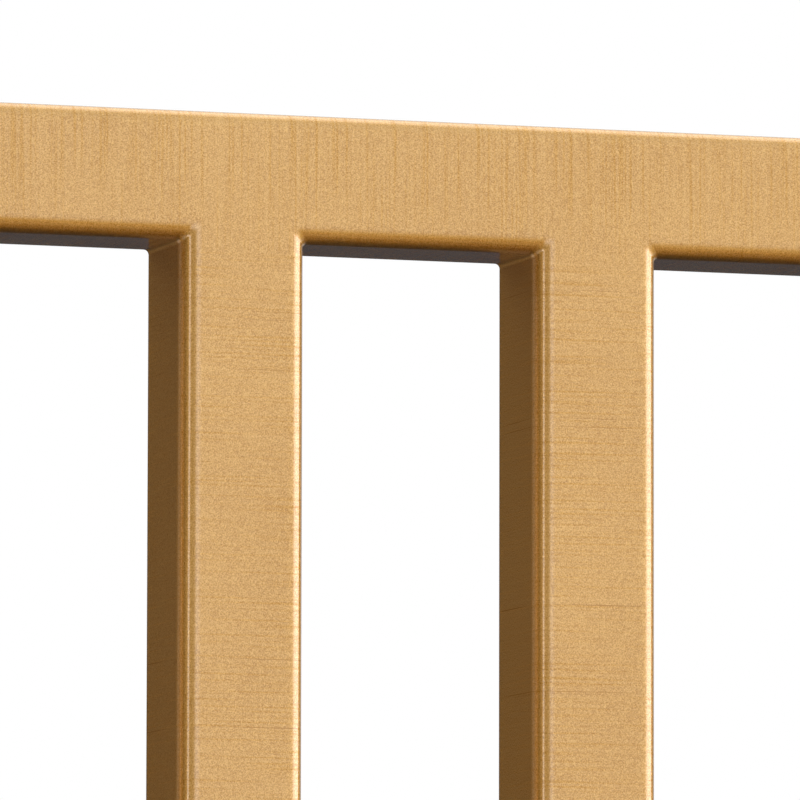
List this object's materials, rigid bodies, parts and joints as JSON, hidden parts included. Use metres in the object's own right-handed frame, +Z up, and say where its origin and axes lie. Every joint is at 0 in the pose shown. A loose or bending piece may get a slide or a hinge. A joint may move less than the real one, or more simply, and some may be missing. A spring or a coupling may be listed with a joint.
{
  "type": "metal bed frame",
  "caption": "Twin bed frame of square steel tube: barred headboard, low footboard, side rails, cross slats, centre beam and levelling feet.",
  "frame": {"origin": "on the floor under the middle of the bed", "axes": "+X to the right seen from the foot of the bed, +Y towards the headboard, +Z up"},
  "size_m": [1.033, 1.9836, 1.1],
  "materials": {
    "gold_coat": "satin metallic gold coat",
    "brass_bolts": "dull plated",
    "nylon_plugs": "matte black",
    "zinc_feet": "zinc plated"
  },
  "bodies": {
    "frame": {"centre_beam": "gold_coat", "centre_leg": "gold_coat", "centre_plug": "nylon_plugs", "footboard_beam_saddle": "gold_coat", "footboard_left_lower_bolt": "brass_bolts", "footboard_left_plug": "nylon_plugs", "footboard_left_post": "gold_coat", "footboard_left_upper_bolt": "brass_bolts", "footboard_rail": "gold_coat", "footboard_right_lower_bolt": "brass_bolts", "footboard_right_plug": "nylon_plugs", "footboard_right_post": "gold_coat", "footboard_right_upper_bolt": "brass_bolts", "headboard_bar_01": "gold_coat", "headboard_bar_02": "gold_coat", "headboard_bar_03": "gold_coat", "headboard_bar_04": "gold_coat", "headboard_bar_05": "gold_coat", "headboard_bar_06": "gold_coat", "headboard_bar_07": "gold_coat", "headboard_bar_08": "gold_coat", "headboard_bar_09": "gold_coat", "headboard_bar_10": "gold_coat", "headboard_bar_11": "gold_coat", "headboard_bar_12": "gold_coat", "headboard_bar_13": "gold_coat", "headboard_beam_saddle": "gold_coat", "headboard_left_lower_bolt": "brass_bolts", "headboard_left_plug": "nylon_plugs", "headboard_left_post": "gold_coat", "headboard_left_upper_bolt": "brass_bolts", "headboard_lower_rail": "gold_coat", "headboard_right_lower_bolt": "brass_bolts", "headboard_right_plug": "nylon_plugs", "headboard_right_post": "gold_coat", "headboard_right_upper_bolt": "brass_bolts", "headboard_top_rail": "gold_coat", "left_side_rail": "gold_coat", "left_side_rail_footboard_plate": "gold_coat", "left_side_rail_headboard_plate": "gold_coat", "right_side_rail": "gold_coat", "right_side_rail_footboard_plate": "gold_coat", "right_side_rail_headboard_plate": "gold_coat", "slat_01": "gold_coat", "slat_02": "gold_coat", "slat_03": "gold_coat", "slat_04": "gold_coat", "slat_05": "gold_coat", "slat_06": "gold_coat", "slat_07": "gold_coat", "slat_08": "gold_coat", "slat_09": "gold_coat", "slat_10": "gold_coat", "slat_11": "gold_coat", "slat_12": "gold_coat"},
    "centre_foot": {"centre_leveller": "zinc_feet"},
    "headboard_left_foot": {"headboard_left_leveller": "zinc_feet"},
    "headboard_right_foot": {"headboard_right_leveller": "zinc_feet"},
    "footboard_left_foot": {"footboard_left_leveller": "zinc_feet"},
    "footboard_right_foot": {"footboard_right_leveller": "zinc_feet"}
  },
  "joints": [
    {"name": "centre_foot_height", "type": "slide", "parent": "frame", "child": "centre_foot", "axis": [0, 0, 1], "range_m": [0, 0.01]},
    {"name": "headboard_left_foot_height", "type": "slide", "parent": "frame", "child": "headboard_left_foot", "axis": [0, 0, 1], "range_m": [0, 0.01]},
    {"name": "headboard_right_foot_height", "type": "slide", "parent": "frame", "child": "headboard_right_foot", "axis": [0, 0, 1], "range_m": [0, 0.01]},
    {"name": "footboard_left_foot_height", "type": "slide", "parent": "frame", "child": "footboard_left_foot", "axis": [0, 0, 1], "range_m": [0, 0.01]},
    {"name": "footboard_right_foot_height", "type": "slide", "parent": "frame", "child": "footboard_right_foot", "axis": [0, 0, 1], "range_m": [0, 0.01]}
  ]
}
